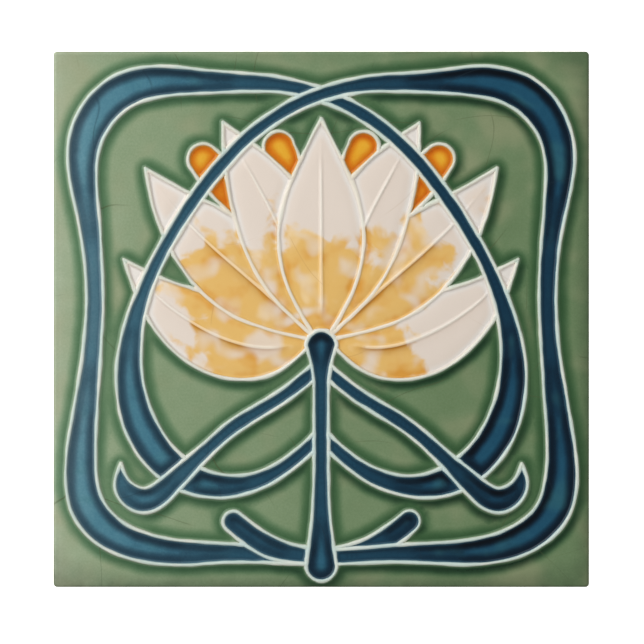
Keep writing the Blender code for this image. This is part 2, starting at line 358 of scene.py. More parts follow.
# The relief of the face, and the rows of points that carry it
relief = {
    "lineHalf": 0.53,  # where a raised line's bare clay meets the glaze beside it
    "lineSlope": (0.08, 1.05),  # where its side starts and ends
    "rows": (0.15, 0.28, 0.41, 0.68, 0.86, 1.08, 1.36, 1.7, 2.2, 2.8, 3.5, 4.3),
    "sparseFrom": 1.5,  # rows further from a line than this have every second point
    "rimRows": (0, 0.12, 0.3, 0.55, 0.95, 1.5),
    "ribRows": (0.3, 0.6, 0.95, 1.3),
    "gridGap": 1.35,
    "gridClear": {"rim": 2.2, "line": 4.8, "rib": 1.8},  # how far the grid stays from these
    "rowClear": {"rim": 1.7, "line": 1.0},
    "pointGap": 0.12,
    "rise": {"ground": (0.0, 0.0), "stem": (0.12, 0.24), "stamen": (0.12, 0.28), "petal": (0.3, 0.58)},
    "swell": 4.0,  # a cell's surface goes from its first to its second rise over this distance
    "wave": 0.022,  # the glaze's slow unevenness
    "crestWave": 0.05,
    "petalLineDrop": 0.27,  # how much lower the lines between petals are
    "ribRise": 0.34,
    "ribHalf": (1.1, 0.5),  # a midrib's half width at the root and at the tip
    "ribSpan": (0.1, 0.9),
    "ribFade": (0.15, 0.75),  # shares of its length between which it has its full height
    "wander": 0.1,  # how far the modeller's hand strays
    "widthWander": 0.23,  # how far a line's edge strays from its place
    "web": 0.13,  # how much wider the lines are where they meet
    "webField": (1.05, 1.5),
    "nearBlur": 1.2,  # rounds the corners of where the glaze gathers
    "narrow": (1.9, 2.8),  # half widths of a cell that is narrow, and of one that isn't
    "lightFrom": (-0.15, 0.99),  # the side of the lines that isn't shaded
    "shadeStep": 0.5,
    "shadeEase": (0.0, 0.6),
}


def midrib(knots):
    middle = spline(knots)[:, :2]
    first, last = (round(share * (len(middle) - 1)) for share in relief["ribSpan"])
    return middle[first : last + 1]


def drawLines(shapes, outlines):  # raised lines, midribs, and each rib segment's shares of its petal
    lines, ribs, ribShares = [], [], []
    for i, (kind, knots) in enumerate(shapes):
        lines += uncovered(closedLine(outlines[i]), outlines[i + 1 :])
        if kind != "petal":
            continue
        whole = midrib(knots)
        for run in uncovered(whole, outlines[i + 1 :]):
            ribs.append(run)
            gaps = np.hypot(*(run[:, None] - whole[None]).transpose(2, 0, 1))
            shares = gaps.argmin(axis=1) / (len(whole) - 1)
            ribShares += list(zip(shares[:-1], shares[1:]))
    return lines, ribs, np.array(ribShares)


def rowsBeside(lines, rows, finder):
    found = []
    for row in rows:
        for line in lines:
            for side in (row, -row):
                points = parallel(line, side)[:: 2 if row > relief["sparseFrom"] else 1]
                found.append(points[finder.distance(points) > row * design["slack"]])
    return found


def loosePoints(lines, ribs, lineFinder, ribFinder):
    loose = [np.concatenate(lines), *rowsBeside(lines, relief["rows"], lineFinder)]
    for rib in ribs:
        rows = np.concatenate(rowsBeside([rib], relief["ribRows"], ribFinder))
        loose += [rib, rows[lineFinder.distance(rows) > relief["rowClear"]["line"]]]
    gap, clear = relief["gridGap"], relief["gridClear"]
    count = int(tile["half"] / gap) + 1
    columns, rows = np.meshgrid(np.arange(-count, count + 1), np.arange(-count, count + 1))
    grid = np.stack([(columns + rows % 2 / 2) * gap, rows * gap * 0.87], axis=-1).reshape(-1, 2)
    for far, least in ((fromSide, "rim"), (lineFinder.distance, "line"), (ribFinder.distance, "rib")):
        grid = grid[far(grid) > clear[least]]
    loose = np.concatenate([*loose, grid])
    loose = loose[fromSide(loose) > relief["rowClear"]["rim"]]
    cells = np.round(loose / relief["pointGap"]).astype(int)
    _, first = np.unique(cells, axis=0, return_index=True)
    return loose[np.sort(first)]


def besideLines(points, finder):  # what is known of each point from the lines near it
    distance, nearest, wall = finder.find(points)
    away = points - nearest
    normal = leftOf(unit(finder.ends[wall] - finder.starts[wall]))
    normal *= np.where((away * normal).sum(axis=1) < 0, -1, 1)[:, None]
    out = np.where(distance[:, None] > 0.05, away / np.maximum(distance, 0.05)[:, None], normal)

    drawn = lineField(finder, relief["nearBlur"])
    stray = waves(nearest + out * 3, 9, 30) + 0.5 * waves(nearest + out * 3, 3.5, 31)
    stray *= relief["widthWander"] * (1 - smooth(distance, 0.7, 2.6))
    web = relief["web"] * smooth(drawn(points), *relief["webField"]) * (1 - smooth(distance, 0.7, 2.2))
    near = -2 * np.log(np.clip(drawn(points), 1e-9, 1))
    # painted shade: the side of each line away from the light is darker
    step = np.array(relief["lightFrom"]) * relief["shadeStep"]
    lit, dark = drawn(points - step), drawn(points + step)
    known = {
        "lineDistance": distance,
        "nearLine": relief["nearBlur"] * np.sqrt(near),
        "shade": smooth((dark - lit) / (dark + lit + 1e-5), *relief["shadeEase"]),
        "stray": out * ((stray + web) * smooth(distance, 0, relief["lineHalf"]))[:, None],
    }
    return known, nearest, out


def alongRibs(points, finder, ribShares):  # the height of the midrib at each point, and its shade
    distance, nearest, wall = finder.find(points)
    start, end = finder.starts[wall], finder.ends[wall]
    onWall = ((nearest - start) * (end - start)).sum(axis=1) / ((end - start) ** 2).sum(axis=1)
    startShare, endShare = ribShares[wall].T
    share = startShare + (endShare - startShare) * np.clip(onWall, 0, 1)
    atRoot, atTip = relief["ribHalf"]
    ribHalf = atRoot + (atTip - atRoot) * share
    rises, falls = relief["ribFade"]
    ends = smooth(share, 0, rises) * smooth(-share, -1, -falls)
    away = (points - nearest) / np.maximum(distance, 0.05)[:, None]
    # painted shade: the side of each midrib away from the light
    shaded = np.maximum(away @ -np.array(relief["lightFrom"]), 0)
    shade = np.exp(-np.maximum(distance - ribHalf * 0.7, 0) / 0.9) * shaded
    return (1 - smooth(distance / ribHalf, 0.1, 1)) * ends, shade * ends


def drawFace():  # the plan's points, its triangles and what is known of each
    shapes = allShapes()
    outlines = [ribbon(knots) for _, knots in shapes]
    lines, ribs, ribShares = drawLines(shapes, outlines)
    lineFinder, ribFinder = LineFinder(lines), LineFinder(ribs)
    print("design: lines", len(lines), "length mm", round(sum(len(l) - 1 for l in lines) * design["step"]))

    rims = [roundedSquare(tile["half"], tile["cornerRadius"], inset) for inset in relief["rimRows"]]
    edges = contour(lines, lineFinder, relief["lineHalf"])
    closed = [closedLine(rim) for rim in rims]
    points, triangles = triangulated(closed + edges, loosePoints(lines, ribs, lineFinder, ribFinder))

    def shapeAt(places):  # the number of the shape that lies on top there
        numbers = np.zeros(len(places), int)
        for i, outline in enumerate(outlines):
            numbers[inside(places, outline)] = i + 1
        return numbers

    kinds = np.array(["ground"] + [kind for kind, _ in shapes])
    known, nearest, out = besideLines(points, lineFinder)
    centres = points[triangles].mean(axis=1)
    faceKind = kinds[shapeAt(centres)]
    faceKind[lineFinder.distance(centres) < relief["lineHalf"]] = "line"
    glazed = triangles[faceKind != "line"]
    width = cellWidth(known["lineDistance"], points, glazed)
    known["narrow"] = evened(1 - smooth(width, *relief["narrow"]), glazed, 4)
    known["shape"] = shapeAt(points)
    known["kind"] = kinds[known["shape"]]
    known["ownKind"], known["otherKind"] = (kinds[shapeAt(nearest + out * way)] for way in (1.0, -1.0))
    between = (known["ownKind"] == "petal") * 0.5 + (known["otherKind"] == "petal") * 0.5
    known["petalShare"] = between
    known["petalLine"] = evened((between > 0.9) * 1.0, triangles, 10)
    onPetal = known["kind"] == "petal"
    known["rib"], known["ribShade"] = (share * onPetal for share in alongRibs(points, ribFinder, ribShares))
    return points, {kind: triangles[faceKind == kind] for kind in np.unique(faceKind)}, known


def faceHeights(points, known):
    low, high = (np.array([relief["rise"][kind][i] for kind in known["kind"]]) for i in (0, 1))
    distance = known["lineDistance"]
    level = low + (high - low) * smooth(distance, relief["lineHalf"], relief["swell"])
    level += known["rib"] * relief["ribRise"]
    level += tile["face"] + relief["wave"] * (waves(points, 13, 3) + 0.5 * waves(points, 6, 9))
    crest = tile["lineTop"] - relief["crestWave"] * (1 + waves(points, 9, 5))
    crest -= relief["petalLineDrop"] * known["petalLine"]
    heights = crest + (level - crest) * smooth(distance, *relief["lineSlope"])
    toRim = np.clip(1 - fromSide(points) / tile["rimWidth"], 0, 1)
    return heights - tile["rimDrop"] * (1 - np.sqrt(1 - toRim**2 * 0.96))


def wandering(points):  # small strays of the hand, none at the rim
    strength = relief["wander"] * smooth(fromSide(points), 1, 6)
    return points + np.stack([waves(points, 11, 20), waves(points, 11, 40)], axis=1) * strength[:, None]


def put(name, data, at=(0, 0, 0)):
    made = bpy.data.objects.new(name, data)
    made.location = at
    bpy.context.scene.collection.objects.link(made)
    return made


def addPiece(name, points, faces, attributes, corners=None):
    mesh = bpy.data.meshes.new(name)
    mesh.from_pydata(points * mm, [], faces)
    for key, values in attributes.items():
        kind, field = ("FLOAT", "value") if values.ndim == 1 else ("FLOAT_COLOR", "color")
        layer = mesh.attributes.new(key, kind, "POINT")
        layer.data.foreach_set(field, values.astype(np.float32).ravel())
    if corners is not None:
        mesh.uv_layers.new(name="OFBake").data.foreach_set("uv", corners.astype(np.float32).ravel())
    mesh.validate()
    mesh.shade_smooth()
    mesh.set_sharp_from_angle(angle=math.radians(50))
    print("piece", name, "faces", len(faces))
    return put(name, mesh)


# Where things lie on a piece's flat map, in shares of it: the seen top, its underside, and the
# walls unrolled into rows. The outer walls show, so their rows are the wider ones.
flatMap = {
    "top": (0.07, 0.135, 0.86),  # left, bottom, side
    "under": (0.94, 0.5, 0.05),
    "hiddenRows": {"first": 0.004, "pitch": 0.0055, "count": 10},
    "outerRows": {"first": 0.066, "pitch": 0.016, "count": 4},
    "rowStart": 0.005,
    "rowLength": 0.99,
    "rowFilled": 0.8,  # the share of a row's height that its walls take
}


def onMap(plan, place):
    left, bottom, side = place
    return (plan / (2 * tile["half"]) + 0.5) * side + (left, bottom)


def followed(edges):  # the directed edges, one after another along their loops
    following = {}
    for a, b in edges:
        following.setdefault(a, []).append(b)
    ordered = []
    for a in sorted(following):
        while following.get(a):
            b = following[a].pop()
            ordered.append((a, b))
            a = b
    return ordered


def rowPlaces(edges, top, rows):  # left and right end of each edge on the map, and its row's level
    lengths = [math.dist(top[a, :2], top[b, :2]) for a, b in edges]
    perMm = flatMap["rowLength"] * (rows["count"] - 0.3) / max(sum(lengths), 1)
    places, x, row = [], 0.0, 0
    for length in lengths:
        step = length * perMm
        if x + step > flatMap["rowLength"]:
            x, row = 0.0, row + 1
        left = flatMap["rowStart"] + x
        places.append((left, left + step, rows["first"] + rows["pitch"] * row))
        x += step
    return places


rimGlazeAndShade = {
    "gathered": ((0.58, 3.0), (0.17, 0.5)),  # darkening along the rim, its strength there and how far in it reaches: glaze gathered at the rim, and painted shade
    "least": 0.15,  # of that, at the left and the top
    "shadedLowRight": (0.78, 0.98),  # from where to where it gets all of it: painted shade at the right and bottom edges, away from the light
    "turn": 8.0,  # the level where the rounded rim turns into the side
    "lip": 7.0,  # the mean level of the glaze's lower edge on the sides
    "lipWaves": ((0.9, 17, 80), (0.3, 5, 81)),  # height, length and seed
    "rings": (  # share of the way down to the lip, height above that, inset, and what is known there
        (0, 0, 0, {"rimGlazeAndShade": 0.45}),
        (0.5, 0, 0, {"rimGlazeAndShade": 0.15}),
        (1, 0.1, 0, {"rimGlazeAndShade": 0.0, "lineDistance": 1.2}),
        (1, 0, 0.05, {"rimGlazeAndShade": 0.0, "lineDistance": 0.8}),
        (1, 0.02, 0.12, {"rimGlazeAndShade": 0.0}),
    ),
}


def glazedPiece(name, surface, triangles, attributes, skirt=()):
    # a closed layer: the triangles seen on top, its flat underside, and its walls
    used, faces = np.unique(triangles, return_inverse=True)
    faces = faces.reshape(-1, 3)
    top = surface[used]
    attributes = {key: values[used] for key, values in attributes.items()}
    bottom = top.copy()
    bottom[:, 2] = tile["underGlaze"]
    outer = fromSide(top[:, :2]) < 0.01
    bottom[outer, :2] *= 1 - clay["inset"] / tile["half"]
    outerNumber = {int(vertex): i for i, vertex in enumerate(np.flatnonzero(outer))}
    rings, ringsKnown = [top, bottom], [attributes, attributes]
    for share, above, inset, changes in skirt:
        plan = top[outer, :2] * (1 - inset / tile["half"])
        waving = sum(height * waves(plan, size, seed) for height, size, seed in rimGlazeAndShade["lipWaves"])
        down = (rimGlazeAndShade["lip"] + waving - rimGlazeAndShade["turn"]) * share
        rings.append(np.column_stack([plan, rimGlazeAndShade["turn"] + down + above]))
        row = {key: changes.get(key, values[outer]) for key, values in attributes.items()}
        ringsKnown.append({key: np.broadcast_to(values, len(plan)) for key, values in row.items()})

    directed = edgesOf(faces).tolist()
    there = set(map(tuple, directed))
    edges = sorted(edge for edge in there if edge[::-1] not in there)
    outside = [edge for edge in edges if edge[0] in outerNumber and edge[1] in outerNumber]
    within = sorted(set(edges) - set(outside))
    count = len(top)
    everyFace = [*faces.tolist(), *(faces[:, ::-1] + count).tolist()]
    corners = [onMap(top[faces.ravel(), :2], flatMap["top"])]
    corners.append(onMap(top[faces[:, ::-1].ravel(), :2], flatMap["under"]))
    for edges, rows, levels in ((within, "hiddenRows", 0), (outside, "outerRows", len(skirt))):
        edges = followed(edges)
        places = rowPlaces(edges, top, flatMap[rows])
        for (a, b), (left, right, low) in zip(edges, places):
            firsts = [2 * count + level * len(outerNumber) for level in range(levels)]
            between = [(first + outerNumber[a], first + outerNumber[b]) for first in firsts]
            ladder = [(a, b), *between, (a + count, b + count)]
            rungs = low + flatMap[rows]["pitch"] * flatMap["rowFilled"] * np.linspace(1, 0, len(ladder))
            for (upA, upB), (downA, downB), up, down in zip(ladder, ladder[1:], rungs, rungs[1:]):
                everyFace.append((upA, downA, downB, upB))
                corners.append(np.array([(left, up), (left, down), (right, down), (right, up)]))
    attributes = {key: np.concatenate([ring[key] for ring in ringsKnown]) for key in attributes}
    return addPiece(name, np.concatenate(rings), everyFace, attributes, np.concatenate(corners))


# The fired clay under the glazes, with keys pressed into its back
clay = {
    "inset": 0.1,  # the glaze's thickness over the sides
    "footChamfer": 0.5,
    "keyCount": 6,
    "keyPitch": 22.0,
    "keyLength": 130.0,
    "keyWidth": 15.0,
    "keyDepth": 1.2,
    "keyCorner": 3.0,
    "keyRows": (-2.2, -1.5, -1.1, -0.8, -0.5, -0.2, 0.1, 0.4, 0.8),  # points along a key's side
    "keySide": (-0.35, 1.35),  # how far in from its mouth a key starts and is at its depth
    "gridGap": 2.6,
    "unevenness": 0.035,
    "sideWave": 0.03,
    "sideRings": ((0.12, 0.3), (0.3, 0.1), (0.5, 0), (1.6, 0), (3.2, 0), (4.8, 0), (6.4, 0), (8, 0)),
}


def keyMiddles():
    return [(i - (clay["keyCount"] - 1) / 2) * clay["keyPitch"] for i in range(clay["keyCount"])]


def keyDistance(points):  # how far outside the nearest key's mouth points lie
    halfSides = clay["keyLength"] / 2, clay["keyWidth"] / 2
    past = [pastRounded(points - (0, middle), halfSides, clay["keyCorner"]) for middle in keyMiddles()]
    return np.min(past, axis=0)


def keyRow(middle, offset):
    corner = clay["keyCorner"] + offset
    halfLength, halfWidth = clay["keyLength"] / 2 + offset, clay["keyWidth"] / 2 + offset
    points = []
    for quarter, (sx, sy) in enumerate(((1, 1), (-1, 1), (-1, -1), (1, -1))):
        for angle in np.radians(np.linspace(90 * quarter, 90 * quarter + 90, 7)):
            x = sx * (halfLength - corner) + corner * math.cos(angle)
            points.append((x, middle + sy * (halfWidth - corner) + corner * math.sin(angle)))
        x, y = points[-1]
        steps = np.linspace(0, 1, 45 if quarter % 2 == 0 else 7)[1:-1]
        across = (-2 * x, 0) if quarter % 2 == 0 else (0, 2 * (middle - y))
        points += [(x + across[0] * share, y + across[1] * share) for share in steps]
    return np.array(points)


def makeClayBody():
    half = tile["half"] - clay["inset"]
    corner = tile["cornerRadius"] - clay["inset"]
    loose = [keyRow(middle, row) for middle in keyMiddles() for row in clay["keyRows"]]
    gap = clay["gridGap"]
    count = int(half / gap)
    grid = np.stack(np.meshgrid(*[np.arange(-count, count + 1) * gap] * 2), axis=-1).reshape(-1, 2)
    toKey = keyDistance(grid)
    grid = grid[((toKey > 1.4) | (toKey < -2.9)) & (fromSide(grid) > 2)]
    rim = roundedSquare(half, corner, clay["footChamfer"])
    back, faces = triangulated([closedLine(rim)], np.concatenate([*loose, grid]))
    hollow = smooth(-keyDistance(back), *clay["keySide"])
    depth = clay["keyDepth"] * hollow
    bumps = clay["unevenness"] * (1 + waves(back, 9, 60)) * smooth(fromSide(back), 1, 3)
    back = np.column_stack([back, depth + bumps])

    # the back's outer ring, then rings up the sides to a flat top
    order = {(round(x, 3), round(y, 3)): i for i, (x, y, _) in enumerate(back)}
    ring = [order[round(x, 3), round(y, 3)] for x, y in rim]
    outline = roundedSquare(half, corner)
    outward = unit(outline)
    uneven = np.stack([waves(outline, 14, seed) for seed in (70, 71, 72)], axis=1)
    points, everyFace = [back], faces[:, ::-1].tolist()
    start = len(back)
    for level, inset in (*clay["sideRings"], (tile["underGlaze"] - 0.01, 0)):
        plan = roundedSquare(half, corner, inset)
        stray = clay["sideWave"] * (1 + uneven[:, int(level) % 3] * smooth(level, 1, 2))
        plan = plan - outward * stray[:, None] * float(smooth(level, 0.4, 1))
        points.append(np.column_stack([plan, np.full(len(plan), level)]))
        upper = list(range(start, start + len(plan)))
        everyFace += zip(ring, ring[1:] + ring[:1], upper[1:] + upper[:1], upper)
        ring = upper
        start += len(plan)
    everyFace.append(tuple(ring))
    points = np.concatenate(points)
    hollow = np.concatenate([hollow, np.zeros(len(points) - len(hollow))])
    return addPiece("clay_body", points, everyFace, {"hollow": hollow})


# Shader building
def feed(socket, value):
    if isinstance(value, Wire):
        socket.id_data.links.new(value.socket, socket)
    else:
        socket.default_value = value


def maths(operation, turned=False):  # a method that adds one maths node
    def method(self, *others):
        node = self.socket.id_data.nodes.new("ShaderNodeMath")
        node.operation = operation
        for socket, value in zip(node.inputs, (*others, self) if turned else (self, *others)):
            feed(socket, value)
        return Wire(node.outputs[0])

    return method


class Wire:  # a socket, so that shader maths reads as sums
    def __init__(self, socket):
        self.socket = socket

    __add__ = __radd__ = maths("ADD")
    __mul__ = __rmul__ = maths("MULTIPLY")
    __sub__ = maths("SUBTRACT")
    __rsub__ = maths("SUBTRACT", turned=True)
    exp = maths("EXPONENT")
    atLeast = maths("MAXIMUM")
    atMost = maths("MINIMUM")
    fraction = maths("FRACT")
    root = maths("SQRT")
    size = maths("ABSOLUTE")  # without its sign


class Finish:  # one material and its nodes
    def __init__(self, name):
        self.material = bpy.data.materials.new(name)
        self.material.use_nodes = True
        self.tree = self.material.node_tree
        self.tree.nodes.clear()
        self.place = self.node("TexCoord", output="Object")

    def node(self, kind, settings=None, inputs=None, output=0):
        made = self.tree.nodes.new("ShaderNode" + kind)
        for key, value in (settings or {}).items():
            setattr(made, key, value)
        for key, value in (inputs or {}).items():
            feed(made.inputs[key], value)
        return Wire(made.outputs[output])

    def cloud(self, size, detail=2.0, seed=0.0, distortion=0.0):  # noise, its waves in millimetres
        at = self.node("Mapping", inputs={"Vector": self.place, "Location": (seed, seed * 0.7, 0)})
        inputs = {"Vector": at, "Scale": 1 / (size * mm), "Detail": detail, "Distortion": distortion}
        return self.node("TexNoise", inputs=inputs)

    def known(self, name, output="Fac"):
        return self.node("Attribute", {"attribute_name": name}, output=output)

    def across(self, start, end, low=0.0, high=1.0):  # from low to high between two places in x
        x = self.node("SeparateXYZ", inputs={0: self.place}, output="X")
        limits = {"From Min": start * mm, "From Max": end * mm, "To Min": low, "To Max": high}
        return self.node("MapRange", inputs={"Value": x, **limits})

    def ease(self, value, low, high):
        settings = {"interpolation_type": "SMOOTHSTEP"}
        return self.node("MapRange", settings, {"Value": value, "From Min": low, "From Max": high})

    def mix(self, factor, first, second, blend="MIX"):
        settings = {"data_type": "RGBA", "blend_type": blend}
        return self.node("Mix", settings, {0: factor, 6: rgba(first), 7: rgba(second)}, output=2)

    def layered(self, colours, colour, **amounts):  # the named colours laid over it in turn
        for name, amount in amounts.items():
            colour = self.mix(amount, colour, colours[name])
        return colour

    def through(self, clayColour, *layers):
        # pale clay seen through layers of coloured glass and of painted shade: how much of each, and what
        # it takes
        channels = {}
        for i, name in enumerate(("Red", "Green", "Blue")):
            loss = sum(amount * absorb[i] for amount, absorb in layers)
            channels[name] = (loss * -1).exp() * clayColour[i]
        return self.node("CombineColor", inputs=channels)

    def crazing(self, seed=0.0):  # 1 along the hairlines that show: long and gently bent, in patches
        found = 0.0
        for i, (angle, gap) in enumerate(glazing["crazeRuns"]):
            along = (math.cos(math.radians(angle)), math.sin(math.radians(angle)), 0)
            run = self.node("VectorMath", {"operation": "DOT_PRODUCT"}, {0: self.place, 1: along}, "Value")
            run = run * (1 / (gap * mm)) + self.cloud(gap * 2.2, 1, seed + 5 * i) * glazing["crazeBend"]
            away = (run.fraction() - 0.5).size() * gap
            hairline = 1 - self.ease(away, 0.0, glazing["crazeWidth"])
            patch = self.ease(self.cloud(gap * 0.8, 1, seed + 5 * i + 2), *glazing["crazePatch"])
            found = (hairline * patch).atLeast(found)
        return found

    def specks(self, gap, size, seed=0.0):  # 1 in a few small dots, about this far apart
        at = self.node("VectorMath", {"operation": "ADD"}, {0: self.place, 1: (seed, seed, 0)})
        cells = {"Vector": at, "Scale": 1 / (gap * mm)}
        dots, pick = (self.node("TexVoronoi", inputs=cells, output=i) for i in (0, 1))
        chosen = self.ease(self.node("SeparateColor", inputs={0: pick}), 0.6, 0.62)
        return (1 - self.ease(dots, size / gap * 0.5, size / gap)) * chosen

    def done(self, colour, roughness, height=None, strength=1.0, distance=0.02, **constants):
        inputs = {"Base Color": colour, "Roughness": roughness}
        if height is not None:
            bump = {"Height": height, "Strength": strength, "Distance": distance * mm}
            inputs["Normal"] = self.node("Bump", inputs=bump)
        for key, value in constants.items():
            inputs[key.replace("_", " ")] = value
        shader = self.node("BsdfPrincipled", inputs=inputs)
        out = self.tree.nodes.new("ShaderNodeOutputMaterial")
        feed(out.inputs["Surface"], shader)
        return self.material


def rgba(colour):
    return colour if isinstance(colour, Wire) else (*colour, 1.0)


# How the glazes lie, common to all of them
glazing = {
    "clouds": ((24, 2, 0.308), (5, 3, 0.21), (0.6, 2, 0.336)),  # size, detail and strength of each
    "ranAndShaded": (-74, 50),  # from where to where the glazes get deeper and darker: partly their run in the kiln, partly painted shade for the light falling off to the right
    "onSlope": (0.45, 1.25),  # distances from a line where a glaze is half as deep, and all of it
    "poolStray": 0.9,
    "narrowEdge": (0.8, 1.8),  # the pools stay stronger than this near to the lines of narrow cells
    "shadeLeast": 0.1,  # of the shade beside a line, at the left
    "crazeRuns": ((20, 21.0), (-38, 27.0), (84, 31.0)),  # direction across, and the gap between
    "crazeBend": 3.0,
    "crazeWidth": 0.28,
    "crazePatch": (0.52, 0.62),
    "crazeDepth": 0.35,
    "roughness": 0.09,
    "roughCloud": 0.05,
    "slopeRoughness": 0.12,  # added where the glaze runs thin up the side of a line
}


def onSlope(finish):  # below 1 where the glaze has run thin on the side of a line
    return finish.ease(finish.known("lineDistance"), *glazing["onSlope"]) * 0.5 + 0.5


def pooled(finish, reach, seed=0.0):  # 1 beside a line, 0 further away than the reach
    stray = (finish.cloud(6, 2, seed + 5) - 0.5) * glazing["poolStray"]
    return (1 - finish.ease(finish.known("nearLine") + stray, *reach)) * onSlope(finish)


def ranAndShadedRight(finish):  # 0 at the left to 1 at the right: where the glaze ran to in the kiln, and painted shade for the light falling off to the right
    return finish.across(*glazing["ranAndShaded"]).root()


def glassGlaze(name, kind):  # a coloured glaze's finish, and its colour, pools, painted shade beside the lines and hairlines
    finish = Finish(name)
    seed, crazeSeed, _ = kind["seeds"]
    left, right = kind["depth"]
    # deeper and darker to the right: partly the glaze's run, partly painted shade
    depth = ranAndShadedRight(finish) * (right - left) + left
    for i, (size, detail, strength) in enumerate(glazing["clouds"]):
        depth = depth + (finish.cloud(size, detail, seed + i) - 0.5) * (strength * kind["clouds"])
    pool = pooled(finish, kind["poolReach"], seed)
    # the pools and the shade beside the lines darken to the right: partly painted shade
    ranAndShaded = ranAndShadedRight(finish) * ranAndShadedRight(finish)
    middle = finish.ease(finish.known("lineDistance"), *glazing["narrowEdge"]) * 0.4 + 0.6
    gathered = pool * (1 - finish.known("narrow") * middle * kind["narrow"])
    layers = (
        (depth * onSlope(finish), kind["absorb"]),
        (gathered * (ranAndShaded * kind["poolRan"] + 1), kind["poolAbsorb"]),
        # painted shade, not glass: darker on the side of each line away from the light
        (finish.known("shade") * pool * gathered * (ranAndShaded + glazing["shadeLeast"]), kind["shadeAbsorb"]),
    )
    return finish, finish.through(kind["clay"], *layers), pool, finish.crazing(crazeSeed)


def glossy(finish, kind, colour, craze):
    seed, _, roughSeed = kind["seeds"]
    slope = (1 - finish.ease(finish.known("lineDistance"), 0.7, 1.5)) * glazing["slopeRoughness"]
    roughness = finish.cloud(9, 2, roughSeed) * glazing["roughCloud"] + slope + glazing["roughness"]
    ripples = finish.cloud(2.6, 3, seed + 8) * 0.6 + finish.cloud(0.5, 2, seed + 9) * 0.06
    return finish.done(colour, roughness, ripples - craze * glazing["crazeDepth"])


greenGlaze = {
    "seeds": (0.0, 0.0, 2.0),  # of its clouds, its hairlines and its roughness
    "clouds": 1.0,  # the strength of its clouds
    "clay": (0.575, 0.56, 0.50),
    "depth": (0.85, 1.85),  # at the left and at the right: it ran in the kiln, and the extra depth at the right is also painted shade
    "absorb": (0.97, 0.731, 1.05),
    "poolReach": (1.1, 4.4),
    "poolAbsorb": (1.2, 0.73, 0.95),
    "poolRan": 0.15,  # how much stronger the pools are at the right
    "narrow": 0.4,  # how much weaker the pools are in narrow cells
    # what the painted shade beside the lines takes from each channel
    "shadeAbsorb": (1.5, 1.2, 1.1),
    "olive": (0.265, 0.245, 0.15),
    "crack": (0.05, 0.06, 0.025),
    "rimDark": (0.02, 0.035, 0.017),
}


def makeGreenGlaze():
    finish, colour, pool, craze = glassGlaze("sea_green_glaze", greenGlaze)
    colour = finish.layered(
        greenGlaze,
        colour,
        olive=finish.ease(finish.cloud(16, 2, 7.0), 0.42, 0.7) * (1 - pool) * 0.33,
        crack=(craze * (pool * 0.3 + 0.4)).atLeast(finish.specks(5, 0.16, 3.0) * 0.6),
        # darker along the rim: gathered glaze, and painted shade at the right and bottom edges
        rimDark=(finish.known("rimGlazeAndShade") * (finish.cloud(3.5, 3, 4.0) * 0.8 + 0.4)).atMost(1),
    )
    return glossy(finish, greenGlaze, colour, craze)


blueGlaze = {
    "seeds": (11.0, 20.0, 12.0),
    "clouds": 0.9,
    "clay": (0.575, 0.56, 0.50),
    "depth": (0.65, 2.05),
    "absorb": (2.1, 1.2, 0.87),
    "poolReach": (1.4, 3.9),
    "poolAbsorb": (1.06, 1.14, 1.03),
    "poolRan": 0.7,
    "narrow": 0.68,
    "shadeAbsorb": (1.1, 1.4, 1.4),
    "teal": (0.03, 0.115, 0.12),
    "crack": (0.01, 0.02, 0.03),
}


def makeBlueGlaze():
    finish, colour, pool, craze = glassGlaze("teal_glaze", blueGlaze)
    teal = finish.ease(finish.cloud(12, 2, 17.0, 0.5), 0.5, 0.72) * (1 - pool) * 0.35
    colour = finish.layered(blueGlaze, colour, teal=teal, crack=craze * 0.35)
    return glossy(finish, blueGlaze, colour, craze)


petalGlaze = {
    "seeds": (21.0, 40.0, 25.0),
    "cream": (0.545, 0.475, 0.415),
    # partly glaze pooled by the lines, partly painted highlight
    "coolCream": (0.56, 0.555, 0.535),
    "greyCream": (0.46, 0.40, 0.33),
    "peach": (0.59, 0.425, 0.215),  # where the ochre lies thin
    "paleOchre": (0.54, 0.33, 0.09),
    "deepOchre": (0.49, 0.22, 0.018),
    # painted shade on the side of each midrib away from the light
    "ribShadeBrown": (0.25, 0.10, 0.012),
    "ribCream": (0.6, 0.56, 0.49),
    "ribOchre": (0.66, 0.5, 0.3),
    "crack": (0.3, 0.16, 0.05),
    "stainReach": (12.0, 52.0),  # millimetres from the root: all stained, and bare
    "stainEase": (0.3, 0.62),
    # how far from the lines the pooled glaze and painted highlight reach
    "poolAndHighlightReach": (0.9, 2.5),
    "poolReach": (1.2, 3.2),
    "rightLight": 0.9,  # of the light at the left
}


def stain(finish):  # above 1 where ochre lies thick, 0 and below where the cream is bare
    near = 1 - finish.ease(finish.known("rootDistance"), *petalGlaze["stainReach"])
    blots = (finish.cloud(15, 1, 21.0, 0.5) - 0.5) * 2.4 + (finish.cloud(4.5, 2, 22.0, 0.4) - 0.5) * 0.9
    tint = (finish.known("petalTint") - 0.5) * 0.9
    return near * 1.5 - 0.2 + blots + tint


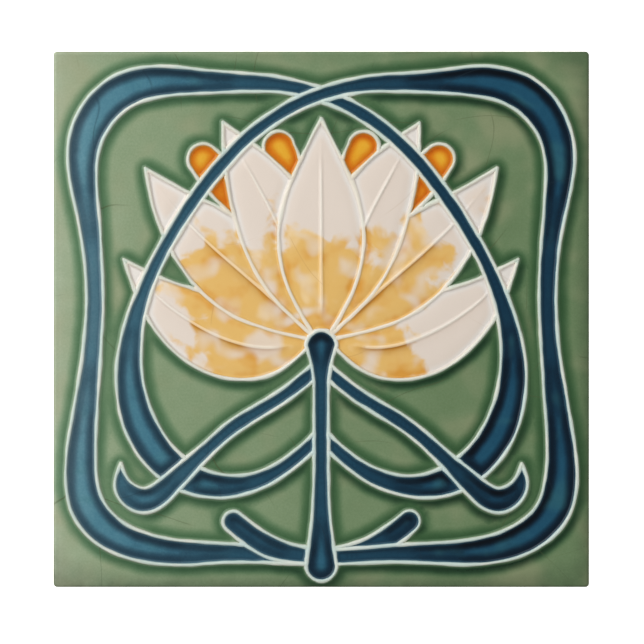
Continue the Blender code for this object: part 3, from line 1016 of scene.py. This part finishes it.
def makePetalGlaze():
    finish = Finish("cream_and_ochre_glaze")
    # a pale bluish-white band along the petals' borders, stronger towards the tips: partly pooled glaze,
    # partly painted highlight
    tips = finish.ease(finish.known("rootDistance"), 20, 45) * 0.45 + 0.2
    cool = pooled(finish, petalGlaze["poolAndHighlightReach"], 26.0) * tips
    grey = finish.cloud(7, 3, 24.0) * 0.2
    cream = finish.layered(petalGlaze, petalGlaze["cream"], coolCream=cool, greyCream=grey)
    amount = stain(finish)
    # painted shade beside the midribs: brown, and deeper ochre through thick
    shade = finish.known("ribShade")
    pool = pooled(finish, petalGlaze["poolReach"], 21.0)
    thick = amount * 0.2 + (finish.cloud(8, 2, 23.0) - 0.5) * 2.2 + pool * 0.35 + shade * 0.6
    pale, deep = finish.ease(thick, -0.5, 0.15), finish.ease(thick, 0.25, 0.95)
    ochre = finish.layered(petalGlaze, petalGlaze["peach"], paleOchre=pale, deepOchre=deep)
    paler = finish.ease(finish.cloud(8, 1, 27.0, 0.3), 0.48, 0.72)  # spots within the stain
    cover = finish.ease(amount, *petalGlaze["stainEase"]) * (1 - paler * 0.8)
    colour = finish.mix(cover * 0.95, cream, ochre)
    colour = finish.mix(shade * (cover * 0.65 + 0.12), colour, petalGlaze["ribShadeBrown"])
    onRib = finish.ease(finish.known("rib"), 0.35, 0.9) * 0.75
    colour = finish.mix(onRib, colour, finish.mix(cover, petalGlaze["ribCream"], petalGlaze["ribOchre"]))
    craze = finish.crazing(petalGlaze["seeds"][1])
    colour = finish.mix(craze * (cover * 0.2 + 0.15), colour, petalGlaze["crack"])
    light = finish.across(-tile["half"], tile["half"], 1.0, petalGlaze["rightLight"])
    colour = finish.node("VectorMath", {"operation": "SCALE"}, {0: colour, "Scale": light})
    return glossy(finish, petalGlaze, colour, craze)


amberGlaze = {
    "seeds": (31.0, 60.0, 32.0),
    "clouds": 1.0,
    "clay": (0.6, 0.56, 0.48),
    "depth": (1.3, 1.5),
    "absorb": (0.1, 0.5, 2.1),
    "poolReach": (0.5, 3.2),
    "poolAbsorb": (0.25, 1.0, 1.8),
    "poolRan": 0.1,
    "narrow": 0.0,
    "shadeAbsorb": (0.3, 0.7, 0.8),
}


def makeAmberGlaze():
    finish, colour, _, craze = glassGlaze("amber_glaze", amberGlaze)
    return glossy(finish, amberGlaze, colour, craze)


lineGlaze = {
    "speck": (0.36, 0.40, 0.34),
    "warm": (0.5, 0.5, 0.44),
    "ochreEdge": (0.47, 0.26, 0.06),
    "beside": {  # the line's colour towards each kind of cell
        "ground": (0.385, 0.445, 0.375),
        "stem": (0.38, 0.47, 0.45),
        "petal": (0.58, 0.53, 0.45),
        "stamen": (0.52, 0.45, 0.34),
    },
    "edge": {  # where the cell's glaze begins
        "ground": (0.26, 0.27, 0.17),
        "stem": (0.17, 0.25, 0.27),
        "petal": (0.58, 0.52, 0.44),
        "stamen": (0.5, 0.33, 0.15),
    },
}


def makeLineGlaze():
    finish = Finish("raised_line_glaze")
    speck = finish.cloud(1.6, 3, 41.0)
    warm = finish.ease(finish.cloud(11, 2, 44.0), 0.48, 0.68) * 0.6
    colour = finish.layered(lineGlaze, finish.known("sideTint", "Color"), speck=speck * 0.22, warm=warm)
    onPetal = finish.ease(finish.known("petalShare"), 0.55, 1.0)
    cover = finish.ease(stain(finish), *petalGlaze["stainEase"]) * onPetal
    colour = finish.mix(cover * 0.12, colour, petalGlaze["paleOchre"])
    rim = finish.mix(cover * 0.9, finish.known("edgeTint", "Color"), lineGlaze["ochreEdge"])
    edge = finish.ease(finish.known("lineDistance"), 0.3, relief["lineHalf"] + 0.04)
    colour = finish.mix(edge * (finish.cloud(4, 2, 42.0) * 0.7 + 0.35), colour, rim)
    return finish.done(colour, speck * 0.12 + 0.12, finish.cloud(1.2, 3, 43.0), distance=0.03)


clayFinish = {
    "pale": (0.60, 0.50, 0.37),
    "dark": (0.47, 0.36, 0.24),
    "grain": (0.68, 0.6, 0.47),
    "speck": (0.2, 0.13, 0.08),
    "smudge": (0.3, 0.26, 0.2),
    "shade": (0.26, 0.19, 0.12),
    "mortar": (0.62, 0.6, 0.55),  # left in the keys
}


def makeClayFinish():
    finish = Finish("fired_clay")
    fine = finish.cloud(0.8, 4, 52.0)
    specks = finish.ease(finish.cloud(0.55, 1, 53.0), 0.72, 0.8)
    hollow = finish.known("hollow")
    mortar = finish.ease(hollow * 0.25 + finish.cloud(13, 5, 57.0), 0.74, 0.86)
    colour = finish.layered(
        clayFinish,
        clayFinish["pale"],
        dark=finish.ease(finish.cloud(18, 4, 51.0), 0.35, 0.7),
        grain=fine * 0.35,
        speck=specks * 0.7,
        smudge=finish.ease(finish.cloud(40, 3, 54.0), 0.55, 0.8) * 0.3,
        shade=hollow * 0.3,
        mortar=mortar * 0.75,
    )
    height = fine * 0.7 + finish.cloud(4, 4, 55.0) * 0.9 - specks * 0.5 + mortar * 1.5
    return finish.done(colour, finish.cloud(5, 3, 56.0) * 0.15 + 0.75, height, distance=0.09)


def keepAndDress(piece, material):
    piece.data.materials.append(material)
    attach(piece, "root")


def surfaceKnown(points, known):  # what the glazes' nodes read, for each kind of cell
    petalTints = np.random.default_rng(7).random(len(allShapes()) + 1)
    common = {key: known[key] for key in ("nearLine", "shade", "narrow")}
    common["lineDistance"] = np.minimum(known["lineDistance"], 9)
    stained = {
        "rootDistance": np.hypot(*(points - design["root"]).T),
        "petalTint": petalTints[known["shape"]],
    }
    inward = fromSide(points)
    # darker glaze along the rim, and painted shade growing towards the right and bottom edges
    gathered = sum(share * np.exp(-((inward / reach) ** 2)) for share, reach in rimGlazeAndShade["gathered"])
    shadedLowRight = smooth(np.maximum(points[:, 0], -points[:, 1]) / tile["half"], *rimGlazeAndShade["shadedLowRight"])
    least = rimGlazeAndShade["least"]

    share = np.clip(known["lineDistance"] / relief["lineHalf"], 0, 1)[:, None] / 2 + 0.5
    beside = lineGlaze["beside"]
    own, other = (np.array([beside[kind] for kind in known[key]]) for key in ("ownKind", "otherKind"))
    edge = np.array([lineGlaze["edge"][kind] for kind in known["ownKind"]])
    one = np.ones((len(points), 1))
    lineTints = {
        "sideTint": np.hstack([own * share + other * (1 - share), one]),
        "edgeTint": np.hstack([edge, one]),
        "petalShare": known["petalShare"],
    }
    return {
        "ground": {**common, "rimGlazeAndShade": gathered * (least + (1 - least) * shadedLowRight)},
        "stem": common,
        "petal": {**common, **stained, "rib": known["rib"], "ribShade": known["ribShade"]},
        "stamen": common,
        "line": {**common, **lineTints, **stained},
    }


def makeTile():
    points, triangles, known = drawFace()
    print("face: points", len(points), "triangles", sum(map(len, triangles.values())))
    surface = np.column_stack([wandering(points) + known["stray"], faceHeights(points, known)])
    attributes = surfaceKnown(points, known)
    parts = (
        ("green_glaze", "ground", makeGreenGlaze, "green_glaze"),
        ("blue_glaze", "stem", makeBlueGlaze, "blue_glaze"),
        ("cream_glaze", "petal", makePetalGlaze, "cream_glaze"),
        ("amber_glaze", "stamen", makeAmberGlaze, "amber_glaze"),
        ("raised_lines", "line", makeLineGlaze, "line_glaze"),
    )
    for name, kind, makeFinish, slot in parts:
        rings = rimGlazeAndShade["rings"] if kind == "ground" else ()
        piece = glazedPiece(name, surface, triangles[kind], attributes[kind], rings)
        keepAndDress(piece, makeFinish())
    body = makeClayBody()
    keepAndDress(body, makeClayFinish())
    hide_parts("tile")


studio = {
    "tilePixels": 536.0,  # the tile's side in the photograph
    "framePixels": 644.0,
    "offsetPixels": (0.75, -2.75),  # the tile's middle, left of and above the frame's middle
    "cameraHeight": 1.5,
    "floorDrop": 0.0002,
    "floorGlow": 0.65,
    "floorReach": 3.0,
    "floorWhite": (0.9, 0.9, 0.9, 1),
    "lights": {
        "key": {"at": (-0.6, 0.46, 0.86), "size": 1.0, "watts": 17.0, "seenInGlaze": False},
        "sheen": {"at": (-1.1, 0.85, 1.1), "size": 2.2, "watts": 17.0, "seenInGlaze": True},
        "fill": {"at": (0.8, -0.7, 0.9), "size": 1.6, "watts": 14.0, "seenInGlaze": False},
    },
    "world": 0.12,
}


def makeStudio():
    perPixel = 2 * tile["half"] * mm / studio["tilePixels"]
    lens = bpy.data.cameras.new("camera")
    lens.sensor_width = 36.0
    lens.lens = lens.sensor_width * studio["cameraHeight"] / (studio["framePixels"] * perPixel)
    x, y = (offset * perPixel for offset in studio["offsetPixels"])
    at = (x, y, studio["cameraHeight"] + tile["face"] * mm)
    bpy.context.scene.camera = put("camera", lens, at)

    mesh = bpy.data.meshes.new("floor")
    reach = studio["floorReach"]
    corners = [(-reach, -reach, 0), (reach, -reach, 0), (reach, reach, 0), (-reach, reach, 0)]
    mesh.from_pydata(corners, [], [(0, 1, 2, 3)])
    floor = put("floor", mesh, (0, 0, -studio["floorDrop"]))
    glow = {"Emission_Color": (1, 1, 1, 1), "Emission_Strength": studio["floorGlow"]}
    mesh.materials.append(Finish("white_paper").done(studio["floorWhite"], 0.9, **glow))

    for name, light in studio["lights"].items():
        lamp = bpy.data.lights.new(name, "AREA")
        lamp.energy, lamp.size = light["watts"], light["size"]
        made = put(name, lamp, light["at"])
        made.visible_glossy = light["seenInGlaze"]
        made.rotation_euler = (-Vector(light["at"])).to_track_quat("-Z", "Y").to_euler()
    world = bpy.data.worlds.new("soft_room")
    world.use_nodes = True
    sky = world.node_tree.nodes["Background"]
    sky.inputs["Color"].default_value = (1, 1, 1, 1)
    sky.inputs["Strength"].default_value = studio["world"]
    bpy.context.scene.world = world
    bpy.context.scene.view_settings.view_transform = "Standard"
    print("studio ready")


makeStudio()
makeTile()
print("tile finished")
